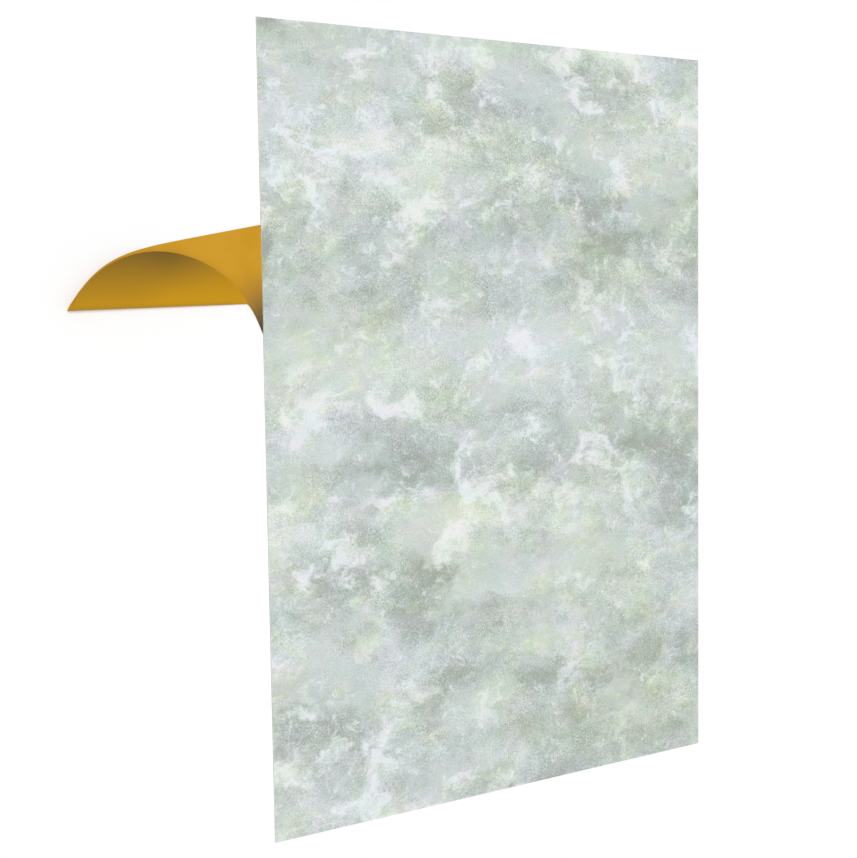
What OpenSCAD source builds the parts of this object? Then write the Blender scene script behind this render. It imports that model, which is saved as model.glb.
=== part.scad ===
// Self-adhesive PVC wall sheet, lying face up, with its release film peeled at one side.
// Origin: on the floor under the middle of the sheet. +Y runs up the sheet, +Z is its printed face.

/* [Sheet] */
// Width of the sheet
sheet_w = 1000; // [600:10:1220]
// Height of the sheet as it hangs on a wall
sheet_h = 1400; // [900:10:2440]
// Thickness of the sheet
sheet_t = 3; // [2:0.5:6]

/* [Release film] */
// Thickness of the film on the adhesive back
film_t = 0.2; // [0.1:0.05:0.4]
// How far the peeled flap reaches out from under the sheet
flap_len = 346; // [200:1:450]
// Width of the flap where it leaves the sheet
flap_root_w = 184; // [140:1:260]
// Middle of the flap's root, above the middle of the sheet
flap_root_mid = 267; // [100:1:300]
// Share of the flap's far side that tapers evenly from the root to the tip
flap_taper = 0.42; // [0.2:0.01:0.6]
// How close to the tip the far side rounds in, larger is closer
nose_late = 7.6; // [3:0.1:9]
// Sharpness of the nose, larger is sharper
nose_sharp = 1.23; // [0.8:0.01:1.5]

/* [Curl] */
// Rise of the fold above the flap's lower root corner
fold_rise = 53; // [20:1:70]
// How far the fold comes back down towards the tip
fold_lean = 7; // [0:0.5:15]
// Distance from the sheet over which the fold rises
fold_turn = 30; // [20:1:60]
// Roundness of the corner where the rise ends, 1 is a straight rise to a sharp corner
fold_bend = 1.4; // [1:0.05:2]
// Radius of the roll at the sheet
roll_r_root = 1; // [0.6:0.1:3]
// Radius of the roll at the tip
roll_r_tip = 10; // [8:0.5:30]
// How late the roll opens out towards the tip, 1 is evenly
roll_late = 0.6; // [0.4:0.05:1]
// Width of the lap that lies over beyond the fold, where it is widest
lap_w = 94; // [60:1:130]
// Place of the widest lap, as a share of the lap's length from the root
lap_peak = 0.53; // [0.4:0.01:0.65]
// Sharpness of the lap's free edge, smaller is fuller
lap_sharp = 1.46; // [1:0.01:2]
// Radius of the lap's droop beyond the roll
lap_droop_r = 700; // [550:10:1200]

/* [Hidden] */

// Steps along the flap, in the turn of the fold and beyond it, and across it from one edge to the fold
turn_steps = 7;
len_steps = 32;
half_steps = 14;
// Share of the length left off at the tip, so that the end is a short edge
tip_cut = 0.003;
// Length of the flap's root that lies in the flat film
root_in = 1;
// Largest share of the steps' span on the far side of the fold
far_share = 0.9;

sheet_left = -sheet_w / 2;
root_low = flap_root_mid - flap_root_w / 2;
root_high = flap_root_mid + flap_root_w / 2;
fold_y = root_low + fold_rise;
fold_start = fold_turn / flap_len;

// In what follows, f is the share of the flap's length, 0 at the sheet and 1 at the tip,
// and s runs across the film from the fold: below 0 towards its far edge, above 0 over the lap.
function radius(f) = roll_r_root + (roll_r_tip - roll_r_root) * pow(f, roll_late);
function fold_at(f) = root_low - fold_lean * f
    + fold_rise * (1 - pow(1 - min(1, f / fold_start), fold_bend));
function nose(f) = flap_taper * (1 - f) + (1 - flap_taper) * pow(1 - pow(f, nose_late), nose_sharp);
function far_at(f) = fold_y - fold_lean * f + (root_high - fold_y) * nose(f);

// Far edge: on the floor, or on the roll where the flap is too narrow to reach the floor
function far_s(f) = let (r = radius(f), d = far_at(f) - fold_at(f))
    d > r ? d - r + r * PI / 2 : r * acos(1 - d / r) * PI / 180;

// Free edge: on the floor at the root, and over the roll from where the fold is straight
function lap_s(f) = let (v = (f - fold_start) / (1 - fold_start))
    v < 0 ? -roll_r_root * PI / 2 * (1 - f / fold_start) :
    lap_w * pow(v / lap_peak, lap_sharp * lap_peak)
    * pow((1 - v) / (1 - lap_peak), lap_sharp * (1 - lap_peak));

// Middle of the film as [y, z, outward y, outward z]: on the floor, round the roll, then drooping
function spot(f, s) = let (r = radius(f), quarter = r * PI / 2, y = fold_at(f) + r)
    s < -quarter ? [y - s - quarter, 0, 0, -1] :
    s < quarter ? let (a = s / r * 180 / PI) [y - r * cos(a), r + r * sin(a), -cos(a), sin(a)] :
    let (a = (s - quarter) / lap_droop_r * 180 / PI)
    [y + lap_droop_r * sin(a), 2 * r - lap_droop_r * (1 - cos(a)), sin(a), cos(a)];

// A point on the film's outer (side = 1) or inner (side = -1) surface, at place x
function film_point(x, f, s, side) = let (p = spot(f, s))
    [x, p[0] + side * p[2] * film_t / 2, film_t / 2 + p[1] + side * p[3] * film_t / 2];

// s at step j, with the steps closer together near the fold
function across(f, j) = let (
    w = j / half_steps - 1,
    bent = 0.6 * w + 0.4 * pow(w, 3),
    width = far_s(f) + lap_s(f),
    split = min(far_share, far_s(f) / width))
    -far_s(f) + width * (w < 0 ? (1 + bent) * split : split + bent * (1 - split));

function quad(a, b, c, d) = [[a, b, c], [a, c, d]];

module flap() {
    wide = 2 * half_steps + 1;
    // Each station is [x, f]; the first lies inside the flat film
    shares = concat(
        [for (i = [0 : turn_steps]) fold_start * i / turn_steps],
        [for (i = [1 : len_steps])
            fold_start + (1 - tip_cut - fold_start) * (1 - cos(180 * i / len_steps)) / 2]);
    stations = concat([[sheet_left + root_in, 0]], [for (f = shares) [sheet_left - f * flap_len, f]]);
    last = len(stations) - 1;
    points = [for (side = [1, -1]) for (p = stations) for (j = [0 : wide - 1])
        film_point(p[0], p[1], across(p[1], j), side)];
    inner = len(stations) * wide;
    skins = [for (i = [0 : last - 1]) for (j = [0 : wide - 2])
        let (a = i * wide + j, b = a + wide)
        each concat(
            quad(a, b, b + 1, a + 1),
            quad(inner + a, inner + a + 1, inner + b + 1, inner + b))];
    edges = [for (i = [0 : last - 1])
        let (a = i * wide, b = a + wide, c = a + wide - 1, d = b + wide - 1)
        each concat(
            quad(a, inner + a, inner + b, b),
            quad(c, d, inner + d, inner + c))];
    ends = [for (j = [0 : wide - 2])
        let (a = j, b = last * wide + j)
        each concat(
            quad(a, a + 1, inner + a + 1, inner + a),
            quad(b, inner + b, inner + b + 1, b + 1))];
    polyhedron(points = points, faces = concat(skins, edges, ends));
}

module wall_sheet() {
    color("#c9d2cc")
        translate([sheet_left, -sheet_h / 2, film_t])
            cube([sheet_w, sheet_h, sheet_t]);
}

module release_film() {
    color("#cf9b2d") {
        translate([sheet_left, -sheet_h / 2, 0])
            cube([sheet_w, sheet_h, film_t]);
        flap();
    }
}

wall_sheet();
release_film();
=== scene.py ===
import math

import bpy
from mathutils import Matrix, Vector


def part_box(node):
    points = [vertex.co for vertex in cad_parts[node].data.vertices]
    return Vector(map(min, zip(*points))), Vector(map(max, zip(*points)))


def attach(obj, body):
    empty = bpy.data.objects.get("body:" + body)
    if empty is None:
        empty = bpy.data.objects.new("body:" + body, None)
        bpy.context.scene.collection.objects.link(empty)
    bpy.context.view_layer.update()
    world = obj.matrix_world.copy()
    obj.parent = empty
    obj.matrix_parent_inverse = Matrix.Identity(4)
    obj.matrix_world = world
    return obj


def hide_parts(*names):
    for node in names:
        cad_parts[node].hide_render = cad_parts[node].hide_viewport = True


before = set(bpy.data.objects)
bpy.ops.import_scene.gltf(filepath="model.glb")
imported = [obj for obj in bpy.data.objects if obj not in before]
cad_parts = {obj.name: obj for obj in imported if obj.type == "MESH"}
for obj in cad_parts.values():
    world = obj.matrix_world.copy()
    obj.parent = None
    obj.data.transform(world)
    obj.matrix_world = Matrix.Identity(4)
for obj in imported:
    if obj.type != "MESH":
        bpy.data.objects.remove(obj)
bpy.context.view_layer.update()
print("frame loaded")


# Helpers for colours, nodes and selection

def paint(code):  # a hex colour as the screen shows it, made linear
    parts = [int(code[i:i + 2], 16) / 255 for i in (1, 3, 5)]
    return [p / 12.92 if p <= 0.04045 else ((p + 0.055) / 1.055) ** 2.4 for p in parts] + [1]


def newMaterial(name):
    material = bpy.data.materials.new(name)
    material.use_nodes = True
    return material, material.node_tree, material.node_tree.nodes["Principled BSDF"]


def addNode(tree, kind, values=None, **settings):
    node = tree.nodes.new(kind)
    for key, value in settings.items():
        setattr(node, key, value)
    for key, value in (values or {}).items():
        if isinstance(value, bpy.types.NodeSocket):
            tree.links.new(value, node.inputs[key])
        else:
            node.inputs[key].default_value = value
    return node


def blendColour(tree, factor, a, b, mode="MIX"):
    node = addNode(tree, "ShaderNodeMix", data_type="RGBA", blend_type=mode)
    for place, value in ((0, factor), (6, a), (7, b)):
        if isinstance(value, bpy.types.NodeSocket):
            tree.links.new(value, node.inputs[place])
        else:
            node.inputs[place].default_value = value
    return node.outputs[2]


def blendValue(tree, factor, a, b):
    return addNode(tree, "ShaderNodeMix", {0: factor, 2: a, 3: b}, data_type="FLOAT").outputs[0]


def maths(tree, operation, a, b=0.0, clamp=False):
    return addNode(tree, "ShaderNodeMath", {0: a, 1: b}, operation=operation, use_clamp=clamp).outputs[0]


def weighed(tree, total, value, weight, middle=0.0):  # total + (value - middle) * weight
    node = addNode(tree, "ShaderNodeMath", {0: maths(tree, "SUBTRACT", value, middle), 1: weight, 2: total},
                   operation="MULTIPLY_ADD")
    return node.outputs[0]


def ranged(tree, value, low, high, ease="SMOOTHSTEP"):  # 0 at low and 1 at high
    return addNode(tree, "ShaderNodeMapRange", {"Value": value, "From Min": low, "From Max": high},
                   interpolation_type=ease).outputs[0]


def editOnly(piece):
    bpy.ops.object.select_all(action="DESELECT")
    piece.select_set(True)
    bpy.context.view_layer.objects.active = piece


def applyModifiers(piece):
    editOnly(piece)
    for modifier in list(piece.modifiers):
        bpy.ops.object.modifier_apply(modifier=modifier.name)


def settle(piece):  # place and size go into the mesh, and the object to the origin
    editOnly(piece)
    bpy.ops.object.transform_apply(location=True, rotation=True, scale=True)


# Shader groups that several finishes share

def makeCloudGroup():
    # Torn clouds: noise looked up through noise, as it is and cut between Low and High
    group = bpy.data.node_groups.new("tornClouds", "ShaderNodeTree")
    face = group.interface
    for name, kind, value in (("Vector", "NodeSocketVector", None), ("Scale", "NodeSocketFloat", 8),
                              ("Warp", "NodeSocketFloat", 0.05), ("Seed", "NodeSocketFloat", 0),
                              ("Roughness", "NodeSocketFloat", 0.6), ("Low", "NodeSocketFloat", 0.45),
                              ("High", "NodeSocketFloat", 0.65)):
        socket = face.new_socket(name=name, in_out="INPUT", socket_type=kind)
        if value is not None:
            socket.default_value = value
    face.new_socket(name="Noise", in_out="OUTPUT", socket_type="NodeSocketFloat")
    face.new_socket(name="Mask", in_out="OUTPUT", socket_type="NodeSocketFloat")
    given = group.nodes.new("NodeGroupInput").outputs
    shift = addNode(group, "ShaderNodeCombineXYZ", {"X": given["Seed"], "Y": given["Seed"], "Z": given["Seed"]})
    place = addNode(group, "ShaderNodeVectorMath", {0: given["Vector"], 1: shift.outputs[0]}, operation="ADD")
    bend = addNode(group, "ShaderNodeTexNoise", {"Vector": place.outputs[0], "Scale": given["Scale"],
                                                 "Detail": 4.0, "Roughness": 0.6})
    centred = addNode(group, "ShaderNodeVectorMath", {0: bend.outputs["Color"], 1: (0.5, 0.5, 0.5)},
                      operation="SUBTRACT")
    pushed = addNode(group, "ShaderNodeVectorMath", {0: centred.outputs[0], "Scale": given["Warp"]},
                     operation="SCALE")
    bent = addNode(group, "ShaderNodeVectorMath", {0: place.outputs[0], 1: pushed.outputs[0]}, operation="ADD")
    noise = addNode(group, "ShaderNodeTexNoise", {"Vector": bent.outputs[0], "Scale": given["Scale"],
                                                  "Detail": 10.0, "Roughness": given["Roughness"]})
    cut = addNode(group, "ShaderNodeMapRange", {"Value": noise.outputs["Fac"], "From Min": given["Low"],
                                                "From Max": given["High"]}, interpolation_type="SMOOTHSTEP")
    out = group.nodes.new("NodeGroupOutput")
    group.links.new(noise.outputs["Fac"], out.inputs["Noise"])
    group.links.new(cut.outputs[0], out.inputs["Mask"])
    return group


def makeGrainGroup():
    # Fine grain about zero, from two sizes of noise
    group = bpy.data.node_groups.new("fineGrain", "ShaderNodeTree")
    face = group.interface
    face.new_socket(name="Vector", in_out="INPUT", socket_type="NodeSocketVector")
    face.new_socket(name="Size", in_out="INPUT", socket_type="NodeSocketFloat").default_value = 0.004
    face.new_socket(name="Grain", in_out="OUTPUT", socket_type="NodeSocketFloat")
    given = group.nodes.new("NodeGroupInput").outputs
    scale = maths(group, "DIVIDE", 1.0, given["Size"])
    coarse = addNode(group, "ShaderNodeTexNoise", {"Vector": given["Vector"], "Scale": scale, "Detail": 2.0})
    finer = maths(group, "MULTIPLY", scale, 2.7)
    fine = addNode(group, "ShaderNodeTexNoise", {"Vector": given["Vector"], "Scale": finer, "Detail": 1.0})
    total = maths(group, "ADD", coarse.outputs["Fac"], fine.outputs["Fac"])
    out = group.nodes.new("NodeGroupOutput")
    group.links.new(maths(group, "SUBTRACT", total, 1.0), out.inputs["Grain"])
    return group


cloudGroup = makeCloudGroup()
grainGroup = makeGrainGroup()
print("shader groups made")


def clouds(tree, vector, scale, low=0.4, high=0.6, seed=0.0, warp=0.05, roughness=0.6, output="Mask"):
    node = addNode(tree, "ShaderNodeGroup", node_tree=cloudGroup)
    tree.links.new(vector, node.inputs["Vector"])
    for key, value in (("Scale", scale), ("Low", low), ("High", high), ("Seed", seed), ("Warp", warp),
                       ("Roughness", roughness)):
        node.inputs[key].default_value = value
    return node.outputs[output]


def grain(tree, vector, size):
    node = addNode(tree, "ShaderNodeGroup", node_tree=grainGroup)
    tree.links.new(vector, node.inputs["Vector"])
    node.inputs["Size"].default_value = size
    return node.outputs["Grain"]


# The printed face: a pale limewash print, one tone scale with tints over it

printLook = {
    "tones": ((0.0, "#9da69d"), (0.25, "#b3bdb4"), (0.5, "#c9d3cc"), (0.75, "#dfe6e2"), (1.0, "#f3f6f5")),
    "stretch": (0.77, 1.0, 1.0),   # below 1 draws the clouds out sideways
    "broadStretch": (0.3, 1.0, 1.0),
    "midTone": 0.385,
    "broadGain": 1.85,              # how far each layer of clouds moves the tone
    "tornGain": 2.1,
    "wornDrop": 0.17,              # worn, darker patches
    "hazeTone": 0.57,              # calm, milky areas, and how much they cover
    "hazeShare": 0.6,
    "scrapTone": 0.95,             # white patches and scraps
    "scrapShare": 0.79,
    "streakTone": 0.95,            # thin pale lines
    "streakShare": 0.3,
    "streakWidth": 0.006,
    "speckGain": 0.54,
    "roughGain": 0.7,              # more grain in rough patches
    "speckShare": 0.12,
    "grainSize": 0.0035,
    "warm": (1.007, 1.011, 0.965, 1),  # tints that the print drifts between
    "cool": (0.991, 0.985, 1.063, 1),
    "green": (0.973, 1.009, 0.986, 1),
    "rose": (1.037, 0.986, 1.014, 1),
    "moss": (0.985, 1.0, 0.845, 1),   # round the white scraps
    "mossShare": 1.0,
    "scrapLeast": 0.35,            # outside the rows where the scraps gather
    "scrapCool": 0.2,
    "fleckTone": 0.9,              # small light flecks
    "fleckShare": 0.6,
    "grainDepth": 0.00005,
}


def toneScale(tree, value, tones):
    node = addNode(tree, "ShaderNodeValToRGB", {"Fac": value})
    marks = node.color_ramp.elements
    while len(marks) < len(tones):
        marks.new(0.5)
    for mark, (position, code) in zip(marks, tones):
        mark.position = position
        mark.color = paint(code)
    return node.outputs["Color"]


def makePrintMaterial():
    look = printLook
    material, tree, shader = newMaterial("stonePrint")
    place = addNode(tree, "ShaderNodeTexCoord").outputs["Object"]
    drawn = addNode(tree, "ShaderNodeMapping", {"Vector": place, "Scale": look["stretch"]}).outputs[0]
    drawnFar = addNode(tree, "ShaderNodeMapping", {"Vector": place, "Scale": look["broadStretch"]}).outputs[0]
    broad = clouds(tree, drawnFar, 4.5, seed=4.0, roughness=0.55, output="Noise")
    torn = clouds(tree, drawn, 9.0, seed=11.0, warp=0.1, roughness=0.87, output="Noise")
    worn = clouds(tree, drawn, 4.2, 0.5, 0.6, 31.0, warp=0.15, roughness=0.6)
    haze = clouds(tree, drawn, 5.0, 0.47, 0.6, 37.0, warp=0.15, roughness=0.6)
    scraps = clouds(tree, drawn, 11.0, 0.487, 0.625, 23.0, warp=0.12, roughness=0.69)
    margins = clouds(tree, drawn, 11.0, 0.45, 0.54, 23.0, warp=0.12, roughness=0.69)
    rows = clouds(tree, drawnFar, 4.5, 0.42, 0.56, 19.0, roughness=0.55)
    scraps = maths(tree, "MULTIPLY", scraps, weighed(tree, look["scrapLeast"], rows, 1 - look["scrapLeast"]))
    crease = clouds(tree, drawn, 11.0, seed=83.0, warp=0.1, roughness=0.45, output="Noise")
    speck = grain(tree, place, look["grainSize"])
    tone = weighed(tree, look["midTone"], broad, look["broadGain"], 0.5)
    tone = weighed(tree, tone, torn, look["tornGain"], 0.5)
    tone = weighed(tree, tone, worn, -look["wornDrop"])
    rough = clouds(tree, drawn, 16.0, 0.47, 0.6, 89.0, warp=0.1, roughness=0.7)
    rough = maths(tree, "MULTIPLY", rough, ranged(tree, tone, 0.75, 0.35))  # most grain in dark patches
    tone = weighed(tree, tone, speck, weighed(tree, look["speckGain"], rough, look["roughGain"]))
    tone = blendValue(tree, maths(tree, "MULTIPLY", haze, look["hazeShare"]), tone, look["hazeTone"])
    tone = blendValue(tree, maths(tree, "MULTIPLY", scraps, look["scrapShare"]), tone, look["scrapTone"])
    flecks = clouds(tree, drawn, 36.0, 0.56, 0.65, 61.0, warp=0.05, roughness=0.7)
    tone = blendValue(tree, maths(tree, "MULTIPLY", flecks, look["fleckShare"]), tone, look["fleckTone"])
    off = maths(tree, "ABSOLUTE", maths(tree, "SUBTRACT", crease, 0.5))
    streak = maths(tree, "MULTIPLY", ranged(tree, off, look["streakWidth"], 0.0),
                   clouds(tree, drawn, 12.0, 0.5, 0.62, 97.0, roughness=0.75))
    tone = blendValue(tree, maths(tree, "MULTIPLY", streak, look["streakShare"]), tone, look["streakTone"])
    colour = toneScale(tree, tone, look["tones"])
    colour = blendColour(tree, 1.0, colour, weighed(tree, 1.0, speck, look["speckShare"]), "MULTIPLY")
    tint = clouds(tree, drawn, 6.8, 0.37, 0.6, 47.0, warp=0.2, roughness=0.6)
    tint = maths(tree, "MULTIPLY", tint, ranged(tree, tone, -0.15, 0.3))  # dark patches stay green
    tint = maths(tree, "MAXIMUM", tint, maths(tree, "MULTIPLY", scraps, look["scrapCool"]))
    colour = blendColour(tree, 1.0, colour, blendColour(tree, tint, look["warm"], look["cool"]), "MULTIPLY")
    moss = maths(tree, "MULTIPLY", maths(tree, "SUBTRACT", margins, scraps, clamp=True), clouds(tree, drawn, 17.0, 0.48, 0.6, 71.0, roughness=0.66))
    moss = maths(tree, "MULTIPLY", moss, look["mossShare"])
    colour = blendColour(tree, moss, colour, look["moss"], "MULTIPLY")
    hue = clouds(tree, drawn, 18.0, 0.38, 0.62, 59.0, roughness=0.66)
    colour = blendColour(tree, 1.0, colour, blendColour(tree, hue, look["green"], look["rose"]), "MULTIPLY")
    tree.links.new(colour, shader.inputs["Base Color"])
    sheen = addNode(tree, "ShaderNodeMapRange", {"Value": torn, "From Min": 0.35, "From Max": 0.65,
                                                 "To Min": 0.56, "To Max": 0.46})
    tree.links.new(sheen.outputs[0], shader.inputs["Roughness"])
    bump = addNode(tree, "ShaderNodeBump", {"Strength": 0.5, "Distance": look["grainDepth"], "Height": speck})
    tree.links.new(bump.outputs[0], shader.inputs["Normal"])
    return material


printMaterial = makePrintMaterial()


# The cut edge and the back of the sheet

edgeLook = {"pale": "#e6ebe6", "dark": "#d4dad4", "sawSize": 0.0012, "sawDepth": 0.00006}


def makeEdgeMaterial():
    look = edgeLook
    material, tree, shader = newMaterial("cutPvc")
    place = addNode(tree, "ShaderNodeTexCoord").outputs["Object"]
    upright = addNode(tree, "ShaderNodeMapping", {"Vector": place, "Scale": (1, 1, 0.05)}).outputs[0]
    marks = grain(tree, upright, look["sawSize"])
    patch = clouds(tree, place, 25.0, 0.4, 0.65, 3.0)
    colour = blendColour(tree, patch, paint(look["dark"]), paint(look["pale"]))
    tree.links.new(colour, shader.inputs["Base Color"])
    bump = addNode(tree, "ShaderNodeBump", {"Strength": 0.6, "Distance": look["sawDepth"], "Height": marks})
    tree.links.new(bump.outputs[0], shader.inputs["Normal"])
    shader.inputs["Roughness"].default_value = 0.6
    return material


edgeMaterial = makeEdgeMaterial()
print("sheet finishes made")

sheetShape = {"edgeRound": 0.0004, "roundSteps": 3}


def makeWallSheet():
    low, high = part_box("wall_sheet")
    bpy.ops.object.select_all(action="DESELECT")
    bpy.ops.mesh.primitive_cube_add(size=1, location=(low + high) / 2, scale=high - low)
    piece = bpy.context.active_object
    piece.name = "wallSheet"
    settle(piece)
    piece.data.materials.append(printMaterial)
    piece.data.materials.append(edgeMaterial)
    rounding = piece.modifiers.new("edgeRound", "BEVEL")
    rounding.width = sheetShape["edgeRound"]
    rounding.segments = sheetShape["roundSteps"]
    rounding.harden_normals = True
    for face in piece.data.polygons:
        face.material_index = 0 if face.normal.z > 0.5 else 1
        face.use_smooth = True
    applyModifiers(piece)
    for face in piece.data.polygons:
        face.material_index = 0 if face.normal.z > 0.4 else 1
    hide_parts("wall_sheet")
    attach(piece, "root")
    return piece


wallSheet = makeWallSheet()
print("wall sheet made")


# The release film and its peeled flap. Its sizes are the construction's own, in metres.

filmShape = {
    "thickness": 0.0002,
    "flapLength": 0.346,
    "rootWidth": 0.184,
    "rootMiddle": 0.267,   # above the middle of the sheet
    "taper": 0.42,
    "noseLate": 7.6,
    "noseSharp": 1.23,
    "foldRise": 0.053,
    "foldLean": 0.007,
    "foldTurn": 0.03,
    "foldBend": 1.4,
    "rollAtRoot": 0.001,
    "rollAtTip": 0.00996,
    "rollLate": 0.6,
    "lapWidth": 0.094,
    "lapPeak": 0.53,
    "lapSharp": 1.46,
    "lapDroop": 0.7,       # radius of the droop
    "tipCut": 0.0031,
    "turnSteps": 18,       # along the flap, in the turn of the fold and beyond it
    "lengthSteps": 76,
    "acrossSteps": 64,
}


def rollRadius(f):  # f is 0 at the sheet and 1 at the tip
    s = filmShape
    return s["rollAtRoot"] + (s["rollAtTip"] - s["rollAtRoot"]) * f ** s["rollLate"]


def foldAt(f):
    s = filmShape
    left = 1 - min(1, f * s["flapLength"] / s["foldTurn"])
    return s["rootMiddle"] - s["rootWidth"] / 2 + s["foldRise"] * (1 - left ** s["foldBend"]) - s["foldLean"] * f


def farEdge(f):  # film from the fold to the far edge, measured along the film
    s = filmShape
    nose = s["taper"] * (1 - f) + (1 - s["taper"]) * (1 - f ** s["noseLate"]) ** s["noseSharp"]
    foldLine = s["rootMiddle"] - s["rootWidth"] / 2 + s["foldRise"]
    edge = foldLine - s["foldLean"] * f + (s["rootWidth"] - s["foldRise"]) * nose
    radius, reach = rollRadius(f), edge - foldAt(f)
    if reach > radius:
        return reach - radius + radius * math.pi / 2
    return radius * math.acos(1 - reach / radius)


def freeEdge(f):  # film from the fold to the lap's free edge, measured along the film
    s = filmShape
    start = s["foldTurn"] / s["flapLength"]
    v = (f - start) / (1 - start)
    if v < 0:
        return -s["rollAtRoot"] * math.pi / 2 * (1 - f / start)
    rising, falling = s["lapSharp"] * s["lapPeak"], s["lapSharp"] * (1 - s["lapPeak"])
    return s["lapWidth"] * (v / s["lapPeak"]) ** rising * ((1 - v) / (1 - s["lapPeak"])) ** falling


def filmSpot(f, along):  # where the middle of the film lies, as y and z
    s = filmShape
    radius = rollRadius(f)
    quarter, y = radius * math.pi / 2, foldAt(f) + radius
    if along < -quarter:
        return y - along - quarter, s["thickness"] / 2
    if along < quarter:
        turn = along / radius
        return y - radius * math.cos(turn), s["thickness"] / 2 + radius + radius * math.sin(turn)
    turn = (along - quarter) / s["lapDroop"]
    return y + s["lapDroop"] * math.sin(turn), s["thickness"] / 2 + 2 * radius - s["lapDroop"] * (1 - math.cos(turn))


def rowShare(row):  # even rows in the turn, then closer together towards both ends
    s = filmShape
    turn = s["foldTurn"] / s["flapLength"]
    if row <= s["turnSteps"]:
        return turn * row / s["turnSteps"]
    share = (1 - math.cos(math.pi * (row - s["turnSteps"]) / s["lengthSteps"])) / 2
    return turn + (1 - s["tipCut"] - turn) * share


def makeReleaseFilm():
    s = filmShape
    low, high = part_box("wall_sheet")
    bpy.ops.object.select_all(action="DESELECT")
    middle = ((low.x + high.x) / 2, (low.y + high.y) / 2, s["thickness"] / 2)
    bpy.ops.mesh.primitive_plane_add(size=1, location=middle)
    piece = bpy.context.active_object
    piece.name = "releaseFilm"
    piece.scale = (high.x - low.x, high.y - low.y, 1)
    settle(piece)
    rootLow, rootHigh = s["rootMiddle"] - s["rootWidth"] / 2, s["rootMiddle"] + s["rootWidth"] / 2
    bpy.ops.object.mode_set(mode="EDIT")
    # The flat film is split level with the flap, so that the flap grows out of one short edge
    for y in (foldAt(0) + s["rollAtRoot"], rootHigh):
        bpy.ops.mesh.select_all(action="SELECT")
        bpy.ops.mesh.bisect(plane_co=(0, y, 0), plane_no=(0, 1, 0))
    bpy.ops.mesh.select_all(action="DESELECT")
    bpy.ops.object.mode_set(mode="OBJECT")
    mesh = piece.data
    for edge in mesh.edges:
        ends = [mesh.vertices[i].co for i in edge.vertices]
        edge.select = all(e.x < low.x + 1e-5 and rootLow < e.y < rootHigh + 1e-5 for e in ends)
    bpy.ops.object.mode_set(mode="EDIT")
    bpy.ops.mesh.select_mode(type="EDGE")
    bpy.ops.mesh.subdivide(number_cuts=s["acrossSteps"] - 1)
    rows = s["turnSteps"] + s["lengthSteps"]
    step = s["flapLength"] / rows
    for _ in range(rows):
        bpy.ops.mesh.extrude_region_move(TRANSFORM_OT_translate={"value": (-step, 0, 0)})
    bpy.ops.mesh.select_all(action="DESELECT")
    bpy.ops.object.mode_set(mode="OBJECT")
    curlFlap(mesh, low.x, step)
    return piece


def curlFlap(mesh, left, step):
    # Each row of the straight strip is laid along the film's real course; lapShare follows the film
    s = filmShape
    lapShare = mesh.attributes.new("lapShare", "FLOAT", "POINT")
    rootShare = mesh.attributes.new("rootShare", "FLOAT", "POINT")
    rows = {}
    for vertex in mesh.vertices:
        row = round((left - vertex.co.x) / step)
        if row > 0 or (row == 0 and s["rootMiddle"] - s["rootWidth"] / 2 < vertex.co.y
                       < s["rootMiddle"] + s["rootWidth"] / 2 + 1e-5):
            rows.setdefault(row, []).append(vertex)
    for row, vertices in rows.items():
        vertices.sort(key=lambda vertex: -vertex.co.y)
        f = rowShare(row)
        far, free = farEdge(f), freeEdge(f)
        for column, vertex in enumerate(vertices):
            along = -far + (far + free) * column / s["acrossSteps"]
            y, z = filmSpot(f, along)
            vertex.co = (left - f * s["flapLength"], y, z)
            lapShare.data[vertex.index].value = along / s["lapWidth"]
            rootShare.data[vertex.index].value = f


releaseFilm = makeReleaseFilm()
print("release film shaped", len(releaseFilm.data.vertices), "points")

filmLook = {
    "face": "#d09a25",
    "faceDeep": "#ca941b",
    "shade": "#544734",        # painted shade, where the film turns in under the sheet
    "shadeFrom": 0.287,        # above the middle of the sheet, and fully dark at shadeTo
    "shadeTo": 0.193,
    "shadeReach": 0.065,       # out from the sheet
    "backNear": "#c6920a",     # the back, at the fold
    "backPaintedShade": "#70561d",      # painted shade on the back, at the lap's free edge
    "gloss": 0.2,
    "roughness": 0.42,
}


def addFilmSurface(tree, shader, place):  # a faint ripple and a soft shine, the same on both sides
    ripple = addNode(tree, "ShaderNodeTexNoise", {"Vector": place, "Scale": 30.0, "Detail": 2.0})
    bump = addNode(tree, "ShaderNodeBump", {"Strength": 0.3, "Distance": 0.0008, "Height": ripple.outputs["Fac"]})
    tree.links.new(bump.outputs[0], shader.inputs["Normal"])
    shader.inputs["Roughness"].default_value = filmLook["roughness"]
    shader.inputs["Specular IOR Level"].default_value = filmLook["gloss"]


def makeFilmFace():
    look = filmLook
    material, tree, shader = newMaterial("filmFace")
    place = addNode(tree, "ShaderNodeTexCoord").outputs["Object"]
    patch = clouds(tree, place, 9.0, 0.4, 0.65, 5.0)
    colour = blendColour(tree, patch, paint(look["face"]), paint(look["faceDeep"]))
    parts = addNode(tree, "ShaderNodeSeparateXYZ", {"Vector": place}).outputs
    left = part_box("wall_sheet")[0].x
    # Painted shade where the film turns in under the sheet: darker towards the sheet's left edge and towards the low
    # end of the root
    shadeNearSheet = ranged(tree, parts["X"], left - look["shadeReach"], left)
    low = ranged(tree, parts["Y"], look["shadeFrom"], look["shadeTo"], "LINEAR")
    colour = blendColour(tree, maths(tree, "MULTIPLY", shadeNearSheet, low), colour, paint(look["shade"]))
    tree.links.new(colour, shader.inputs["Base Color"])
    addFilmSurface(tree, shader, place)
    return material


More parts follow.
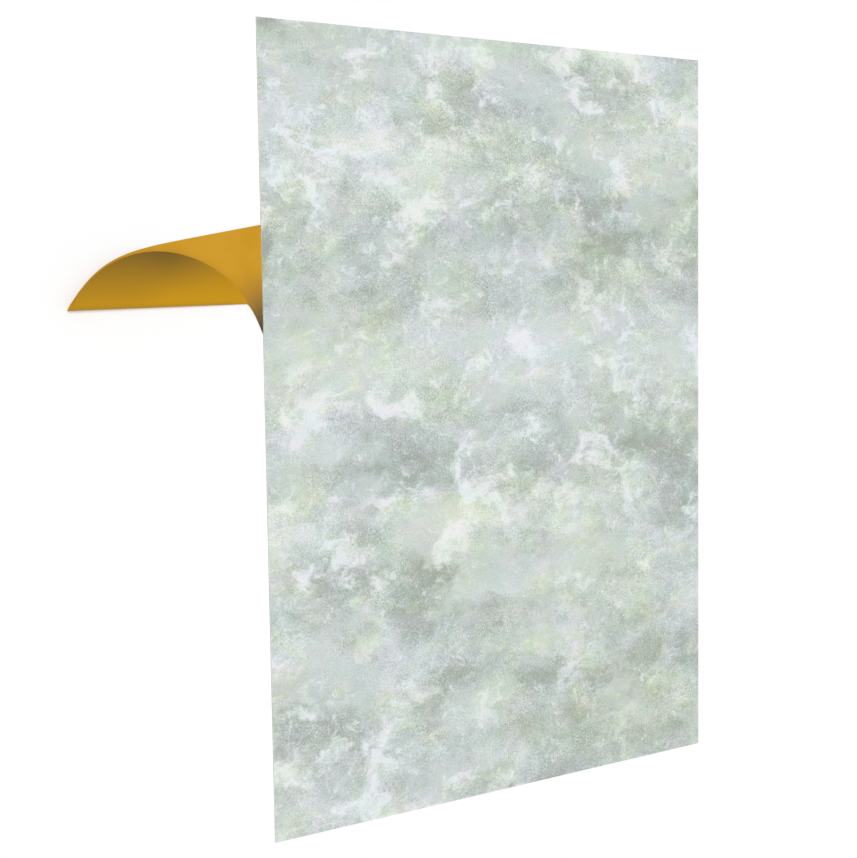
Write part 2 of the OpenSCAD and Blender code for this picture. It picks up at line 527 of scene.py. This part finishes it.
def makeFilmBack():
    look = filmLook
    material, tree, shader = newMaterial("filmBack")
    place = addNode(tree, "ShaderNodeTexCoord").outputs["Object"]
    over = addNode(tree, "ShaderNodeAttribute", attribute_name="lapShare").outputs["Fac"]
    along = addNode(tree, "ShaderNodeAttribute", attribute_name="rootShare").outputs["Fac"]
    # Painted shade on the back of the lap, darker towards its free edge: soft at both ends over the middle of the
    # flap, even towards the tip, and weaker towards the root
    shadeAcrossLap = blendValue(tree, ranged(tree, along, 0.45, 0.7), ranged(tree, over, 0.08, 1.05),
                       maths(tree, "MULTIPLY", over, 0.9, clamp=True))
    shadeAlongFlap = weighed(tree, 0.6, ranged(tree, along, 0.18, 0.55), 0.4)
    colour = blendColour(tree, maths(tree, "MULTIPLY", shadeAcrossLap, shadeAlongFlap), paint(look["backNear"]), paint(look["backPaintedShade"]))
    tree.links.new(colour, shader.inputs["Base Color"])
    addFilmSurface(tree, shader, place)
    return material


def finishReleaseFilm(piece):
    piece.data.materials.append(makeFilmFace())
    piece.data.materials.append(makeFilmBack())
    wall = piece.modifiers.new("filmThickness", "SOLIDIFY")
    wall.thickness = filmShape["thickness"]
    wall.offset = 0
    wall.material_offset = 1
    applyModifiers(piece)
    for face in piece.data.polygons:
        face.use_smooth = True
    editOnly(piece)
    bpy.ops.object.shade_smooth_by_angle(angle=math.radians(40))
    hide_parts("release_film")
    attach(piece, "root")


finishReleaseFilm(releaseFilm)
print("release film finished")


# Floor, light and camera

stageLook = {
    "floorSize": 14.0,
    "floorColour": (0.8, 0.8, 0.8, 1),
    "floorGlow": 0.2,          # seen by the camera only, so that the lit floor is white
    "skyStrength": 0.42,
    "keyShare": 0.58,          # the key lamp's share of the light on a level face
    "keyFrom": (-0.45, 0.22, 1.2),
    "keyAngle": 28,
}


def makeFloor():
    look = stageLook
    bpy.ops.object.select_all(action="DESELECT")
    bpy.ops.mesh.primitive_plane_add(size=look["floorSize"])
    floor = bpy.context.active_object
    floor.name = "floor"
    material, tree, shader = newMaterial("paleFloor")
    shader.inputs["Base Color"].default_value = look["floorColour"]
    shader.inputs["Roughness"].default_value = 0.9
    shader.inputs["Specular IOR Level"].default_value = 0.0
    shader.inputs["Emission Color"].default_value = (1, 1, 1, 1)
    path = addNode(tree, "ShaderNodeLightPath")
    seen = maths(tree, "MAXIMUM", path.outputs["Is Camera Ray"], path.outputs["Is Glossy Ray"])
    tree.links.new(maths(tree, "MULTIPLY", seen, look["floorGlow"]), shader.inputs["Emission Strength"])
    floor.data.materials.append(material)
    return floor


def makeLight():
    look = stageLook
    world = bpy.data.worlds.new("softRoom")
    bpy.context.scene.world = world
    world.use_nodes = True
    tree = world.node_tree
    tree.nodes.clear()
    path = addNode(tree, "ShaderNodeLightPath")
    seen = maths(tree, "MAXIMUM", path.outputs["Is Camera Ray"], path.outputs["Is Glossy Ray"])
    seen = maths(tree, "MAXIMUM", seen, path.outputs["Is Transmission Ray"])
    lighting = addNode(tree, "ShaderNodeBackground", {"Color": (1, 1, 1, 1), "Strength": look["skyStrength"]})
    shown = addNode(tree, "ShaderNodeBackground", {"Color": (1, 1, 1, 1), "Strength": 1.0})
    both = addNode(tree, "ShaderNodeMixShader", {0: seen, 1: lighting.outputs[0], 2: shown.outputs[0]})
    out = addNode(tree, "ShaderNodeOutputWorld", {"Surface": both.outputs[0]})
    lampFrom = Vector(look["keyFrom"]).normalized()
    bpy.ops.object.light_add(type="SUN", location=lampFrom * 4)
    key = bpy.context.active_object
    key.name = "softKey"
    key.rotation_euler = lampFrom.to_track_quat("Z", "Y").to_euler()
    key.data.angle = math.radians(look["keyAngle"])
    key.data.energy = look["keyShare"] * math.pi / lampFrom.z
    return key


cameraView = {
    "place": (-1.755, 0.235, 2.331),
    "target": (-0.1665, -0.0034, 0.0),
    "roll": 0.85,
    "lens": 65.74,             # for a 36 mm wide sensor
}


def makeCamera():
    view = cameraView
    place = Vector(view["place"])
    forward = (Vector(view["target"]) - place).normalized()
    right = forward.cross(Vector((0, 1, 0))).normalized()
    turned = Matrix((right, right.cross(forward), -forward)).transposed()
    bpy.ops.object.camera_add(location=place)
    camera = bpy.context.active_object
    camera.name = "camera"
    turn = turned @ Matrix.Rotation(math.radians(-view["roll"]), 3, "Z")
    camera.rotation_euler = turn.to_euler()
    camera.data.sensor_fit = "HORIZONTAL"
    camera.data.sensor_width = 36
    camera.data.lens = view["lens"]
    camera.data.clip_end = 50
    bpy.context.scene.camera = camera
    return camera


makeFloor()
makeLight()
makeCamera()
bpy.context.scene.view_settings.view_transform = "Standard"
print("floor, light and camera placed")
